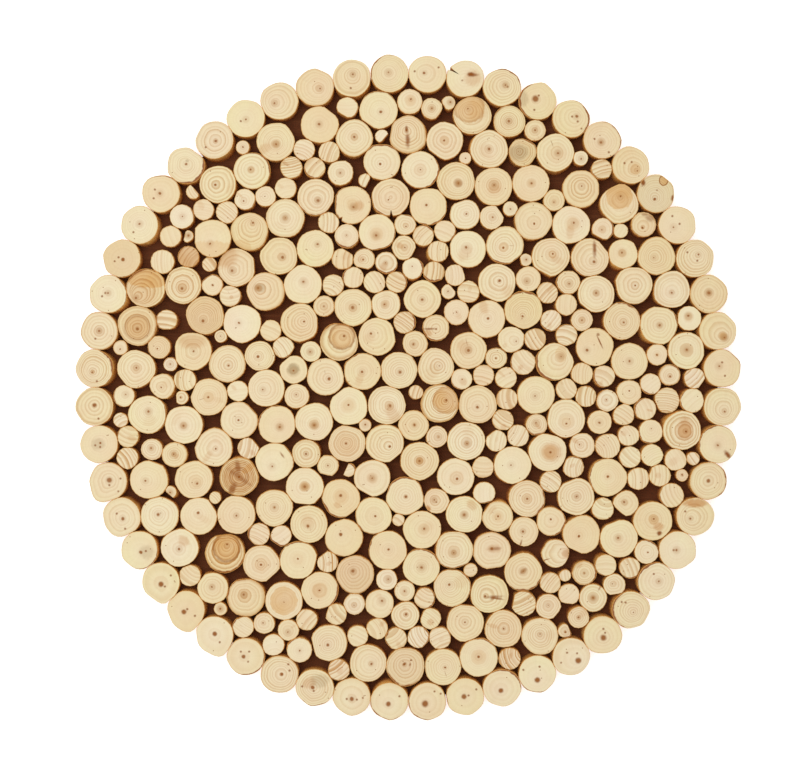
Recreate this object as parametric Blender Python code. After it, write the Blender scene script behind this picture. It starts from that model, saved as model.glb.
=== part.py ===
"""Round panel of wood slices standing on end on a stained backing board.

Some 385 short lengths of peeled pole, dowel and twig stand close together on a round plywood board, with
their cut faces up. Every one is a piece of its own, glued down. Here those that touch are joined in small
groups, at a narrow flat where they meet, and every group is one solid. Lengths are in millimetres until
the meshes are made. The origin is at the middle of the board's underside.
"""

import math

import bmesh
import bpy
import numpy as np
from mathutils.geometry import convex_hull_2d

MM = 0.001
FULL_TURN = 2 * math.pi

# The panel: its outer radius runs over the rim slices, its thickness to the tallest face.
PANEL_RADIUS = 300.0
PANEL_THICKNESS = 25.0
BOARD_RADIUS = 281.0
BOARD_THICKNESS = 6.0
BOARD_SIDES = 64
SEAT_GAP = 0.3
FACE_SPREAD = 0.8

# The rim: a ring of equal slices that touch each other.
RIM_COUNT = 52
RIM_TURN = math.radians(3.46)
RIM_ARCS = 8

# The field inside the rim. Slice centres stay within FIELD_RADIUS.
FIELD_RADIUS = 264.0
FIELD_GROUPS = 51
SEED = 11

# Stock that the field is filled from: pieces, smallest and largest radius, share laid in a pocket.
STOCK = (
    (106, 16.4, 17.2, 0.0),
    (12, 12.4, 14.2, 0.4),
    (36, 10.6, 11.9, 0.8),
    (104, 9.4, 10.0, 1.0),
)
DOWEL_RADIUS = 9.6
TWIG_RADII = (4.8, 6.6)
TWIG_LIMIT = 30
MOVABLE_RADIUS = 12.1

# Pockets where small pieces gather: x, y from the panel's middle, and how far they scatter round it.
POCKET_SPREAD = 16.0
POCKETS = (
    (-230, -7), (-234, -75), (-131, 56), (-99, 183), (-13, 113), (-40, 128), (136, 173),
    (181, 137), (172, 70), (28, 47), (-22, 88), (253, 20), (208, -7), (82, -21),
    (41, -43), (-31, -102), (-13, -183), (-162, -188), (136, -120), (55, -197), (190, -66),
    (136, -211), (163, -170), (-185, 133), (-99, -229), (-22, -242), (19, 106), (100, 33),
)

# Slices that stand out by their grain or stain, and keep their own place: x, y, radius.
LANDMARKS = (
    (-240, 89, 17.2), (-252, 58, 17.6), (-204, 92, 16.5), (-198, 117, 9.6), (-175, 134, 17.0),
    (-143, 140, 17.0), (-155, 109, 17.0), (-183, 65, 17.0), (-194, 33, 17.0), (-128, 87, 17.0),
    (-103, 16, 12.6), (-62, 41, 17.0), (-51, 164, 17.0), (-16, 171, 17.0), (-1, 227, 17.0),
    (57, 247, 17.0), (43, 185, 17.0), (103, 211, 12.4), (163, 117, 17.0), (190, 165, 17.2),
    (212, 146, 11.2), (168, 37, 17.0), (103, 70, 17.0), (25, 54, 12.0), (131, 23, 17.0),
    (-152, -80, 17.4), (-165, -149, 17.6), (-112, -192, 17.0), (-55, -50, 16.6), (-3, -252, 17.2),
    (-93, -89, 17.0), (-48, -168, 17.0), (-121, -67, 17.0), (28, -14, 17.0), (125, -58, 17.0),
    (73, -186, 17.0), (75, -147, 17.0), (104, -129, 13.0), (103, -166, 17.0), (132, -149, 12.5),
    (166, -189, 12.5), (25, -102, 11.5), (221, -122, 17.4), (253, -41, 17.3), (10, -66, 17.0),
)

# Packing: slices grow from FIRST_SIZE of their radius in the first GROWING part of the steps, and every
# step undoes PUSH_SHARE of each overlap. Hold is how firmly a slice stands, next to a pole of PUSH_RADIUS.
FIRST_SIZE = 0.6
GROWING = 0.7
PUSH_SHARE = 0.7
PUSH_RADIUS = 17.2
RIM_HOLD = 50.0
LANDMARK_HOLD = 6.0
HOMING = 0.06
PLACE_DECIMALS = 4
GROW_STEPS, SHORT_STEPS, LONG_STEPS, LAST_STEPS = 1200, 60, 1000, 400
PAIRS_EVERY = 10
GROWING_REACH, GROWN_REACH = 14.0, 6.0

# Slices that end up jammed move to the widest gaps, and the gaps left after that are filled.
MOVES = 60
LEAST_LOAD = 0.4
LEAST_ROOM = 6.5
DOWEL_ROOM = 8.2
GRID_STEP = 5.0
PRESS_ROUNDS = 3

# Outlines: poles are a little out of round, dowels are turned true, and each rim slice is trimmed by two
# straight cuts on its outer side, at an angle to the way out and a share of the radius from the centre.
OVAL = 0.012
CORNERS = 0.008
RIM_CUT_ANGLES = (math.radians(14), math.radians(44))
RIM_CUT_DEPTHS = (0.92, 0.99)
DOWEL_LIMIT = 10.3
POLE_LIMIT = 12.2
TWIG_SIDES, DOWEL_SIDES, STICK_SIDES, POLE_SIDES, RIM_SIDES = 7, 8, 9, 10, 14

# Contacts: touching slices of a group overlap by twice LAP over a flat, all others keep clear.
TOUCH = 0.35
NEIGHBOUR_REACH = 2.5
LAP = 0.25
FLAT_HALF = 2.0
FLAT_MARGIN = 2.0
CLEARANCE = 0.2
SHORTEST_EDGE = 0.4

SLICE_COLOUR = (0.79, 0.63, 0.38, 1.0)
BOARD_COLOUR = (0.05, 0.016, 0.007, 1.0)
SMOOTH_BELOW = math.radians(40)


class Slices:
    """Centres and radii of the slices. The first RIM_COUNT are the rim, the landmarks follow."""

    def __init__(self, rng):
        rim = rim_places()
        marks = np.array(LANDMARKS, float)
        loose = [stock_pieces(rng, *sort) for sort in STOCK]
        self.place = np.vstack([rim[:, :2], marks[:, :2]] + [part[:, :2] for part in loose])
        self.radius = np.concatenate([rim[:, 2], marks[:, 2]] + [part[:, 2] for part in loose])
        self.home = np.full(self.place.shape, np.nan)
        self.home[RIM_COUNT : RIM_COUNT + len(marks)] = marks[:, :2]
        self.hold = (self.radius / PUSH_RADIUS) ** 2
        self.hold[:RIM_COUNT] = RIM_HOLD
        self.hold[RIM_COUNT : RIM_COUNT + len(marks)] = LANDMARK_HOLD

    def pairs(self, reach):
        """Index pairs of slices less than reach apart, and the gap of each pair."""
        gap = distances(self.place, self.place) - self.radius[:, None] - self.radius[None, :]
        one, other = np.nonzero(np.triu(gap < reach, 1))
        return one, other, gap[one, other]

    def add(self, place, radius):
        self.place = np.vstack([self.place, place])
        self.radius = np.append(self.radius, radius)
        self.home = np.vstack([self.home, [np.nan, np.nan]])
        self.hold = np.append(self.hold, (radius / PUSH_RADIUS) ** 2)


def distances(points, others):
    """Table of the distances between two lists of points."""
    across = points[:, None, 0] - others[None, :, 0]
    along = points[:, None, 1] - others[None, :, 1]
    return np.sqrt(across**2 + along**2)


def rim_places():
    """Centres and radii of the rim slices, which touch each other and the panel's outer circle."""
    half_step = math.sin(math.pi / RIM_COUNT)
    circle = PANEL_RADIUS / (1 + half_step)
    angle = RIM_TURN + np.arange(RIM_COUNT) * FULL_TURN / RIM_COUNT
    radius = np.full(RIM_COUNT, circle * half_step)
    return np.round(np.stack([circle * np.cos(angle), circle * np.sin(angle), radius], 1), PLACE_DECIMALS)


def stock_pieces(rng, count, smallest, largest, pocket_share):
    """Rough places for one sort of stock: evenly over the field, or scattered round the pockets."""
    radius = rng.uniform(smallest, largest, count)
    angle = rng.uniform(0, FULL_TURN, count)
    out = FIELD_RADIUS * np.sqrt(rng.uniform(0, 1, count))
    spread = np.stack([out * np.cos(angle), out * np.sin(angle)], 1)
    pockets = np.array(POCKETS, float)[rng.integers(0, len(POCKETS), count)]
    gathered = pockets + rng.normal(0, POCKET_SPREAD, (count, 2))
    in_pocket = rng.uniform(0, 1, count) < pocket_share
    place = np.where(in_pocket[:, None], gathered, spread)
    return np.round(np.column_stack([place, radius]), PLACE_DECIMALS)


def settle(slices, steps, first_size=1.0, homing=HOMING):
    """Push overlapping slices apart, while their radii grow from first_size to the whole.

    Each overlap is shared between the two slices, the bigger share to the one that holds less firmly.
    Places are rounded at every step, so the result is the same on every machine.
    """
    count = len(slices.radius)
    for step in range(steps):
        grown = min(1.0, step / (GROWING * steps))
        size = slices.radius * (first_size + (1 - first_size) * grown)
        if step % PAIRS_EVERY == 0:
            one, other, _ = slices.pairs(GROWING_REACH if first_size < 1 else GROWN_REACH)
            share = 2 * slices.hold[other] / (slices.hold[one] + slices.hold[other])
        between = slices.place[one] - slices.place[other]
        apart = np.sqrt(between[:, 0] ** 2 + between[:, 1] ** 2) + 1e-9
        overlap = np.maximum(size[one] + size[other] - apart, 0)
        push = between * (0.5 * overlap / apart)[:, None]
        for axis in (0, 1):
            moved = np.bincount(one, push[:, axis] * share, count)
            moved -= np.bincount(other, push[:, axis] * (2 - share), count)
            moved += np.nan_to_num(homing * (slices.home[:, axis] - slices.place[:, axis]))
            moved[:RIM_COUNT] = 0
            slices.place[:, axis] += PUSH_SHARE * moved
        keep_in_field(slices)
        slices.place = np.round(slices.place, PLACE_DECIMALS)


def keep_in_field(slices):
    """Bring slices that were pushed over the rim back into the field."""
    out = np.sqrt(slices.place[:, 0] ** 2 + slices.place[:, 1] ** 2) + 1e-9
    back = np.minimum(1.0, FIELD_RADIUS / out)
    back[:RIM_COUNT] = 1.0
    slices.place = slices.place * back[:, None]


def widest_gap(slices):
    """The grid point farthest from every slice, and its distance to the nearest one."""
    line = np.arange(-FIELD_RADIUS, FIELD_RADIUS, GRID_STEP)
    points = np.stack(np.meshgrid(line, line, indexing="ij"), -1).reshape(-1, 2)
    points = points[points[:, 0] ** 2 + points[:, 1] ** 2 < FIELD_RADIUS**2]
    room = (distances(points, slices.place) - slices.radius[None, :]).min(1)
    best = int(np.argmax(np.round(room, PLACE_DECIMALS)))
    return points[best], float(room[best])


def move_jammed(slices):
    """Take the slice that overlaps its neighbours most to the widest gap, cut thinner if it must be.

    Landmarks and the rim stay. A pole is moved only where it is jammed hard.
    """
    for _ in range(MOVES):
        one, other, gap = slices.pairs(0.0)
        load = np.bincount(one, -gap, len(slices.radius)) + np.bincount(other, -gap, len(slices.radius))
        load[~np.isnan(slices.home[:, 0])] = 0
        load[:RIM_COUNT] = 0
        load[(slices.radius > MOVABLE_RADIUS) & (load < 4 * LEAST_LOAD)] = 0
        jammed = int(np.argmax(np.round(load, PLACE_DECIMALS)))
        point, room = widest_gap(slices)
        if room < LEAST_ROOM or load[jammed] < LEAST_LOAD:
            return
        slices.place[jammed] = point
        slices.radius[jammed] = min(slices.radius[jammed], max(DOWEL_RADIUS, room))
        settle(slices, SHORT_STEPS)


def fill_gaps(slices):
    """Stand a dowel or a twig end in the widest gaps that are left."""
    for _ in range(TWIG_LIMIT):
        point, room = widest_gap(slices)
        if room < TWIG_RADII[0]:
            return
        radius = DOWEL_RADIUS if room > DOWEL_ROOM else min(room, TWIG_RADII[1])
        slices.add(point, round(radius, 1))
        settle(slices, SHORT_STEPS)


def press_loose(slices):
    """Slide each slice that touches nothing up to its nearest neighbour."""
    for _ in range(PRESS_ROUNDS):
        for index in range(RIM_COUNT, len(slices.radius)):
            gap = distances(slices.place[index : index + 1], slices.place)[0]
            gap = gap - slices.radius - slices.radius[index]
            gap[index] = np.inf
            nearest = int(np.argmin(gap))
            if gap[nearest] > 0:
                towards = slices.place[nearest] - slices.place[index]
                slide = gap[nearest] / math.hypot(towards[0], towards[1])
                slices.place[index] = np.round(slices.place[index] + slide * towards, PLACE_DECIMALS)


def pack_panel():
    """All slices at their places on the panel."""
    slices = Slices(np.random.default_rng(SEED))
    settle(slices, GROW_STEPS, first_size=FIRST_SIZE)
    move_jammed(slices)
    fill_gaps(slices)
    settle(slices, LONG_STEPS)
    settle(slices, LAST_STEPS, homing=0.0)
    press_loose(slices)
    return slices


def join_rim():
    """Rim slices in arcs, and the pairs of neighbours that are joined inside each arc."""
    arcs = [list(arc) for arc in np.array_split(np.arange(RIM_COUNT), RIM_ARCS)]
    joints = [(int(first), int(second)) for arc in arcs for first, second in zip(arc, arc[1:])]
    return arcs, joints


def join_field(slices):
    """Field slices in groups, grown by joining the smallest group to its smallest touching neighbour."""
    one, other, gap = slices.pairs(TOUCH)
    touching = [
        (int(a), int(b), float(g)) for a, b, g in zip(one, other, gap) if a >= RIM_COUNT and b >= RIM_COUNT
    ]
    group_of = {index: index for index in range(RIM_COUNT, len(slices.radius))}
    members = {index: [index] for index in group_of}
    joints = []
    stuck = set()
    while len(members) > FIELD_GROUPS and len(stuck) < len(members):
        small = min((g for g in members if g not in stuck), key=lambda g: (len(members[g]), g))
        choices = []
        for a, b, g in touching:
            if (group_of[a] == small) != (group_of[b] == small):
                beside = group_of[b] if group_of[a] == small else group_of[a]
                choices.append((len(members[beside]), round(g, PLACE_DECIMALS), a, b, beside))
        if not choices:
            stuck.add(small)
            continue
        *_, a, b, beside = min(choices)
        joints.append((a, b))
        members[beside] += members.pop(small)
        for index in members[beside]:
            group_of[index] = beside
    return [sorted(group) for group in members.values()], joints


def sides_of(index, radius):
    """Number of sides of a slice's outline: more for the rim, which is seen against the ground."""
    if index < RIM_COUNT:
        return RIM_SIDES
    if radius > POLE_LIMIT:
        return POLE_SIDES
    if radius > DOWEL_LIMIT:
        return STICK_SIDES
    return DOWEL_SIDES if radius > TWIG_RADII[1] else TWIG_SIDES


def free_outline(rng, centre, radius, sides):
    """Polygon with the area of the round slice, a little out of round for a pole."""
    turn, oval_at, corners_at = rng.uniform(0, FULL_TURN, 3)
    angle = turn + np.arange(sides) * FULL_TURN / sides
    wave = OVAL * np.cos(2 * (angle - oval_at)) + CORNERS * np.cos(3 * (angle - corners_at))
    if TWIG_RADII[1] < radius < DOWEL_LIMIT:
        wave = np.zeros(sides)
    same_area = math.sqrt(FULL_TURN / (sides * math.sin(FULL_TURN / sides)))
    reach = radius * same_area * (1 + wave)
    return centre + reach[:, None] * np.stack([np.cos(angle), np.sin(angle)], 1)


def rim_cuts(rng, centre, radius):
    """The two straight cuts that trim a rim slice: the direction each faces, and how far out it lies."""
    out = math.atan2(centre[1], centre[0])
    cuts = []
    for side in (-1, 1):
        angle = out + side * rng.uniform(*RIM_CUT_ANGLES)
        towards = np.array([math.cos(angle), math.sin(angle)])
        cuts.append((towards, centre @ towards + radius * rng.uniform(*RIM_CUT_DEPTHS)))
    return cuts


def pull_in(corners, centre, towards, limit):
    """Bring corners that reach past limit along the direction towards back to it, straight at the centre."""
    reach = (corners - centre) @ towards
    allowed = limit - centre @ towards
    short = np.where(reach > allowed, allowed / np.maximum(reach, allowed), 1.0)
    return centre + (corners - centre) * short[:, None]


def slice_outlines(slices, joints):
    """Outline of every slice: joined pairs overlap at a flat, all other neighbours keep clear."""
    rng = np.random.default_rng(SEED)
    one, other, _ = slices.pairs(NEIGHBOUR_REACH)
    beside = {index: [] for index in range(len(slices.radius))}
    for a, b in zip(one.tolist(), other.tolist()):
        beside[a].append(b)
        beside[b].append(a)
    joined = {frozenset(pair) for pair in joints}
    outlines = []
    for index, (centre, radius) in enumerate(zip(slices.place, slices.radius)):
        corners = free_outline(rng, centre, radius, sides_of(index, radius))
        limits = rim_cuts(rng, centre, radius) if index < RIM_COUNT else []
        for neighbour in beside[index]:
            step = slices.place[neighbour] - centre
            apart = math.hypot(step[0], step[1])
            towards = step / apart
            middle = (apart**2 + radius**2 - slices.radius[neighbour] ** 2) / (2 * apart)
            if frozenset((index, neighbour)) in joined:
                across = np.array([-towards[1], towards[0]])
                meeting = centre + towards * (middle + LAP)
                flat = [meeting - across * FLAT_HALF, meeting + across * FLAT_HALF]
                aside = np.abs((corners - centre) @ across) > FLAT_HALF + FLAT_MARGIN
                behind = (corners - centre) @ towards < 0
                corners = np.vstack([corners[aside | behind], flat])
            else:
                limits.append((towards, centre @ towards + middle - CLEARANCE))
        for towards, limit in limits:
            corners = pull_in(corners, centre, towards, limit)
        outline = corners[convex_hull_2d([tuple(point) for point in corners])]
        outlines.append(without_short_edges(outline))
    return outlines


def without_short_edges(outline):
    """The outline without corners that lie closer than SHORTEST_EDGE to the one before."""
    kept = [outline[0]]
    for point in outline[1:]:
        if math.hypot(*(point - kept[-1])) > SHORTEST_EDGE:
            kept.append(point)
    if math.hypot(*(kept[-1] - kept[0])) < SHORTEST_EDGE:
        kept.pop()
    return np.round(np.array(kept), PLACE_DECIMALS)


def face_heights(count):
    """Height of every cut face: no two alike, spread evenly by steps of the golden ratio."""
    step = (math.sqrt(5) - 1) / 2
    return PANEL_THICKNESS - FACE_SPREAD * ((np.arange(count) * step) % 1.0)


def principled(name, colour, roughness):
    material = bpy.data.materials.new(name)
    material.use_nodes = True
    shader = material.node_tree.nodes["Principled BSDF"]
    shader.inputs["Base Color"].default_value = colour
    shader.inputs["Roughness"].default_value = roughness
    shader.inputs["Metallic"].default_value = 0.0
    material.diffuse_color = colour
    return material


def object_from(name, solid, material):
    """Scene object from a bmesh, shaded smooth where it is round."""
    mesh = bpy.data.meshes.new(name)
    solid.to_mesh(mesh)
    solid.free()
    mesh.shade_smooth()
    mesh.set_sharp_from_angle(angle=SMOOTH_BELOW)
    mesh.materials.append(material)
    made = bpy.data.objects.new(name, mesh)
    bpy.context.scene.collection.objects.link(made)
    return made


def prism(name, outline, foot, face, material):
    """Upright solid over an outline, from its foot to its cut face."""
    solid = bmesh.new()
    corners = [solid.verts.new((x * MM, y * MM, foot * MM)) for x, y in outline]
    base = solid.faces.new(corners)
    raised = bmesh.ops.extrude_face_region(solid, geom=[base])["geom"]
    top = [item for item in raised if isinstance(item, bmesh.types.BMVert)]
    bmesh.ops.translate(solid, verts=top, vec=(0, 0, (face - foot) * MM))
    bmesh.ops.recalc_face_normals(solid, faces=solid.faces)
    return object_from(name, solid, material)


def join_group(name, prisms):
    """One solid from the slices of a group, by one union on a collection."""
    whole, *others = prisms
    whole.name = name
    whole.data.name = name
    if not others:
        return whole
    rest = bpy.data.collections.new(name + "_rest")
    bpy.context.scene.collection.children.link(rest)
    for other in others:
        bpy.context.scene.collection.objects.unlink(other)
        rest.objects.link(other)
    union = whole.modifiers.new("union", "BOOLEAN")
    union.operation = "UNION"
    union.operand_type = "COLLECTION"
    union.solver = "EXACT"
    union.collection = rest
    bpy.context.view_layer.objects.active = whole
    bpy.ops.object.modifier_apply(modifier=union.name)
    for other in others:
        bpy.data.objects.remove(other)
    bpy.data.collections.remove(rest)
    return whole


def backing_board():
    """Round plywood disc that all slices are glued to."""
    solid = bmesh.new()
    bmesh.ops.create_cone(
        solid,
        cap_ends=True,
        segments=BOARD_SIDES,
        radius1=BOARD_RADIUS * MM,
        radius2=BOARD_RADIUS * MM,
        depth=BOARD_THICKNESS * MM,
    )
    bmesh.ops.translate(solid, verts=solid.verts, vec=(0, 0, BOARD_THICKNESS * MM / 2))
    return object_from("backing_board", solid, principled("stained_plywood", BOARD_COLOUR, 0.6))


def slice_group(name, group, outlines, faces):
    """The slices of one group, each as a prism, joined in one solid."""
    material = principled(name + "_wood", SLICE_COLOUR, 0.55)
    foot = BOARD_THICKNESS + SEAT_GAP
    prisms = [prism(f"{name}_{index}", outlines[index], foot, faces[index], material) for index in group]
    return join_group(name, prisms)


for old in list(bpy.data.objects):
    bpy.data.objects.remove(old)

panel = pack_panel()
rim_groups, rim_joints = join_rim()
field_groups, field_joints = join_field(panel)
panel_outlines = slice_outlines(panel, rim_joints + field_joints)
panel_faces = face_heights(len(panel.radius))

backing_board()
for number, members_of_arc in enumerate(rim_groups, 1):
    slice_group(f"rim_slices_{number}", members_of_arc, panel_outlines, panel_faces)
for number, members_of_group in enumerate(field_groups, 1):
    slice_group(f"field_slices_{number:02d}", members_of_group, panel_outlines, panel_faces)
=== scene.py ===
"""Looks of a round panel of cut wood slices, which stand on end on a stained plywood board."""

import math

import bpy
import numpy as np
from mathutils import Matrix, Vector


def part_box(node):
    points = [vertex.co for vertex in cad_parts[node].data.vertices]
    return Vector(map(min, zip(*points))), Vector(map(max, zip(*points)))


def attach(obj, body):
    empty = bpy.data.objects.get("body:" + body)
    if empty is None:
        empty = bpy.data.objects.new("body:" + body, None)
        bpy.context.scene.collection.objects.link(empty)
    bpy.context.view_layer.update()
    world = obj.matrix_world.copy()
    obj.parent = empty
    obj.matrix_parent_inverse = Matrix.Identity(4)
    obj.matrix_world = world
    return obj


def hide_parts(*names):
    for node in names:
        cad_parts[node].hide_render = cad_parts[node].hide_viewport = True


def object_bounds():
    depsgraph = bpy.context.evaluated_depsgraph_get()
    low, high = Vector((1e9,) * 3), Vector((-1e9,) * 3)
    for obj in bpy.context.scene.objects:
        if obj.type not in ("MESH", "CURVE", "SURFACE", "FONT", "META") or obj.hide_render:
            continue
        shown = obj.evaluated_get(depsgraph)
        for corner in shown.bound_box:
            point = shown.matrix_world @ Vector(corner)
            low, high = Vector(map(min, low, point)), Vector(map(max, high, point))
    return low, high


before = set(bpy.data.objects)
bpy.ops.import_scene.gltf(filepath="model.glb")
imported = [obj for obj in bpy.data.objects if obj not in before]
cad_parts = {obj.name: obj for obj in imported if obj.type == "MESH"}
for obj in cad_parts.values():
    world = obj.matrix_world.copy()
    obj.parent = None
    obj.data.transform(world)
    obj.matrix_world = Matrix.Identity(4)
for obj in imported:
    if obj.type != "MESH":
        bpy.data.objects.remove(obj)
cad_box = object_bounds()


# The backing board is a disc of thin birch plywood that carries all the slices. It was sawn round, and its
# face and edge were wiped with dark brown stain before the slices were glued on. Its underside stayed bare.

MM = 0.001
FULL_TURN = 2 * math.pi
BOARD_SPOKES = 160
BOARD_BROKEN_EDGE = 0.5
BOARD_PLIES = 5
BOARD_FIBRES_PER_METRE = (22.0, 420.0, 420.0)


def add(tree, kind, inputs=(), out=0, stops=(), **settings):
    """Adds a node with its settings, colour stops and inputs, values or links, and gives one output."""
    made = tree.nodes.new("ShaderNode" + kind)
    for setting, value in settings.items():
        setattr(made, setting, value)
    if stops:
        ramp = made.color_ramp.elements
        ramp.remove(ramp[1])
        ramp[0].position, ramp[0].color = stops[0]
        for position, colour in stops[1:]:
            ramp.new(position).color = colour
    for key, value in inputs.items() if isinstance(inputs, dict) else enumerate(inputs):
        if isinstance(value, bpy.types.NodeSocket):
            tree.links.new(value, made.inputs[key])
        elif value is not None:
            made.inputs[key].default_value = value
    return made.outputs[out] if made.outputs else None


def linear(code):
    """Linear colour of an sRGB hex value, with full cover."""
    parts = [int(code[place : place + 2], 16) / 255 for place in (1, 3, 5)]
    lit = [part / 12.92 if part <= 0.04045 else ((part + 0.055) / 1.055) ** 2.4 for part in parts]
    return (*lit, 1.0)


def finish(name, paint):
    """A material whose surface takes the inputs that paint gives for a new node tree."""
    made = bpy.data.materials.new(name)
    made.use_nodes = True
    tree = made.node_tree
    tree.nodes.clear()
    surface = add(tree, "BsdfPrincipled", paint(tree))
    add(tree, "OutputMaterial", {"Surface": surface})
    return made


def stained_plywood(tree):
    """Birch plywood with brown wiping stain on its face and edge, thinner and streaky where the rag left it.

    Stain cover rises from none to full over the lowest millimetre, where it crept round the bottom edge.
    The grain is noise stretched along X, and the plies are bands of height.
    """
    place = add(tree, "TexCoord", out="Object")
    along = add(tree, "Mapping", {"Vector": place, "Scale": BOARD_FIBRES_PER_METRE})
    grain = add(tree, "TexNoise", {"Vector": along, "Scale": 1.0, "Detail": 5.0, "Roughness": 0.6})
    cloud = add(tree, "TexNoise", {"Vector": place, "Scale": 38.0, "Detail": 3.0})
    height = add(tree, "SeparateXYZ", [place], out=2)
    bare = add(tree, "ValToRGB", [grain], stops=[(0.3, linear("#c9a577")), (0.7, linear("#e0c597"))])
    bands = add(tree, "Math", [height, BOARD_PLIES / (BOARD_THICKNESS * MM)], operation="MULTIPLY")
    band = add(tree, "Math", [bands, 1.0], operation="PINGPONG")
    ply = add(tree, "MapRange", [band, 0.35, 0.65, 0.72, 1.0])
    stain = add(
        tree,
        "ValToRGB",
        [grain],
        stops=[(0.25, linear("#572e18")), (0.55, linear("#6d3f23")), (0.8, linear("#845330"))],
    )
    stain = add(tree, "Mix", {0: cloud, 6: stain, 7: linear("#5f341c")}, out=2, data_type="RGBA")
    creep = add(tree, "Math", [cloud, -0.0012, height], operation="MULTIPLY_ADD")
    cover = add(tree, "MapRange", [creep, -0.0006, 0.0004])
    colour = add(tree, "Mix", {0: cover, 6: bare, 7: stain}, out=2, data_type="RGBA")
    colour = add(tree, "Mix", {0: 1.0, 6: colour, 7: ply}, out=2, data_type="RGBA", blend_type="MULTIPLY")
    bump = add(tree, "Bump", {"Strength": 0.35, "Distance": 0.0002, "Height": grain})
    return {"Base Color": colour, "Roughness": 0.8, "Specular IOR Level": 0.15, "Normal": bump}


def mesh_piece(name, points, faces, *materials):
    """A new object at the origin from points in metres and lists of point numbers."""
    mesh = bpy.data.meshes.new(name)
    mesh.from_pydata(points, [], faces)
    for material in materials:
        mesh.materials.append(material)
    piece = bpy.data.objects.new(name, mesh)
    bpy.context.scene.collection.objects.link(piece)
    return piece


def turned_disc(radius, low, high, edge, spokes):
    """Points and faces of a disc with broken edges.

    A point is at radius times the cosine and sine of its spoke's angle and at its ring's height. The rings go
    from the bottom's edge round to the top's edge, and one face closes each end.
    """
    angle = np.arange(spokes) * FULL_TURN / spokes
    out = np.array([radius - edge, radius, radius, radius - edge])[:, None]
    up = np.array([low, low + edge, high - edge, high])[:, None]
    points = np.stack([out * np.cos(angle), out * np.sin(angle), up + 0 * angle], axis=-1)
    here = np.arange(spokes)
    after = (here + 1) % spokes
    rows = np.arange(3)[:, None] * spokes
    walls = np.stack([rows + here, rows + after, rows + spokes + after, rows + spokes + here], axis=-1)
    faces = walls.reshape(-1, 4).tolist()
    faces += [here[::-1].tolist(), (3 * spokes + here).tolist()]
    return points.reshape(-1, 3), faces


board_low, board_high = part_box("backing_board")
BOARD_RADIUS = board_high.x / MM
BOARD_THICKNESS = board_high.z / MM
board_points, board_faces = turned_disc(
    BOARD_RADIUS * MM, board_low.z, board_high.z, BOARD_BROKEN_EDGE * MM, BOARD_SPOKES
)
wiped_ply = finish("wiped stain on birch ply", stained_plywood)
board = mesh_piece("stained_board", board_points, board_faces, wiped_ply)
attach(board, "root")
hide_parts("backing_board")


# The slices are sawn across peeled pine poles, branches and dowels, all to one length, and stand glued on
# the board with their end grain up. Their outlines start from the model's solids and are rounded from there.

SPOKES = 192
LOWEST_FACE = 20.0
SAME_FACE = 0.0004
JOINT_GAP = 0.08
POLE_FROM = 12.2
STICK_FROM = 10.3
DOWEL_FROM = 8.0
SHOULDER_IN = 0.35
SHOULDER_DROP = 0.4
GLUE_LINE = 0.05
CORNER_BLUR = (0.11, 0.27, 0.3, 0.34, 0.3)
RIM_GROWTH = 1.004
FIELD_GROWTH = 1.018
SLICE_SEED = 7

spoke_angle = np.arange(SPOKES) * FULL_TURN / SPOKES
spoke_way = np.stack([np.cos(spoke_angle), np.sin(spoke_angle)], axis=1)


def cross(one, other):
    """The cross product of flat vectors, which is a number."""
    return one[..., 0] * other[..., 1] - one[..., 1] * other[..., 0]


def sawn_faces(name):
    """Middle, height and outline in millimetres of each slice in a node, from its upward faces.

    Upward triangles of one height are one slice. The outline is a distance for each spoke from the middle,
    where the spoke last crosses an edge of those triangles.
    """
    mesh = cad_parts[name].data
    mesh.calc_loop_triangles()
    corners = np.empty(len(mesh.vertices) * 3)
    mesh.vertices.foreach_get("co", corners)
    picks = np.empty(len(mesh.loop_triangles) * 3, dtype=np.int32)
    mesh.loop_triangles.foreach_get("vertices", picks)
    triangles = corners.reshape(-1, 3)[picks].reshape(-1, 3, 3) / MM
    level = np.ptp(triangles[:, :, 2], axis=1) < SAME_FACE
    tops = triangles[level & (triangles[:, 0, 2] > LOWEST_FACE)]
    tops = tops[np.argsort(tops[:, 0, 2])]
    steps = np.flatnonzero(np.diff(tops[:, 0, 2]) > SAME_FACE) + 1
    found = []
    for group in np.split(tops, steps):
        flat = group[:, :, :2]
        area = cross(flat[:, 1] - flat[:, 0], flat[:, 2] - flat[:, 0])
        middle = (flat.mean(axis=1) * area[:, None]).sum(axis=0) / area.sum()
        start = (flat - middle).reshape(-1, 1, 2)
        edge = (np.roll(flat, -1, axis=1) - flat).reshape(-1, 1, 2)
        with np.errstate(divide="ignore", invalid="ignore"):
            reach = cross(start, edge) / cross(spoke_way, edge)
            share = cross(start, spoke_way) / cross(spoke_way, edge)
        crossed = (share > -1e-6) & (share < 1 + 1e-6) & (reach > 0)
        found.append((middle, group[0, 0, 2], np.where(crossed, reach, 0).max(axis=0)))
    return found


def rounded(reach, blur):
    """Outlines with their corners worn off: harmonic k of the distance fades by exp(-(k * blur)^2 / 2)."""
    waves = np.fft.rfft(reach, axis=1)
    order = np.arange(waves.shape[1])
    return np.fft.irfft(waves * np.exp(-0.5 * (order * blur[:, None]) ** 2), n=SPOKES, axis=1)


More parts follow.
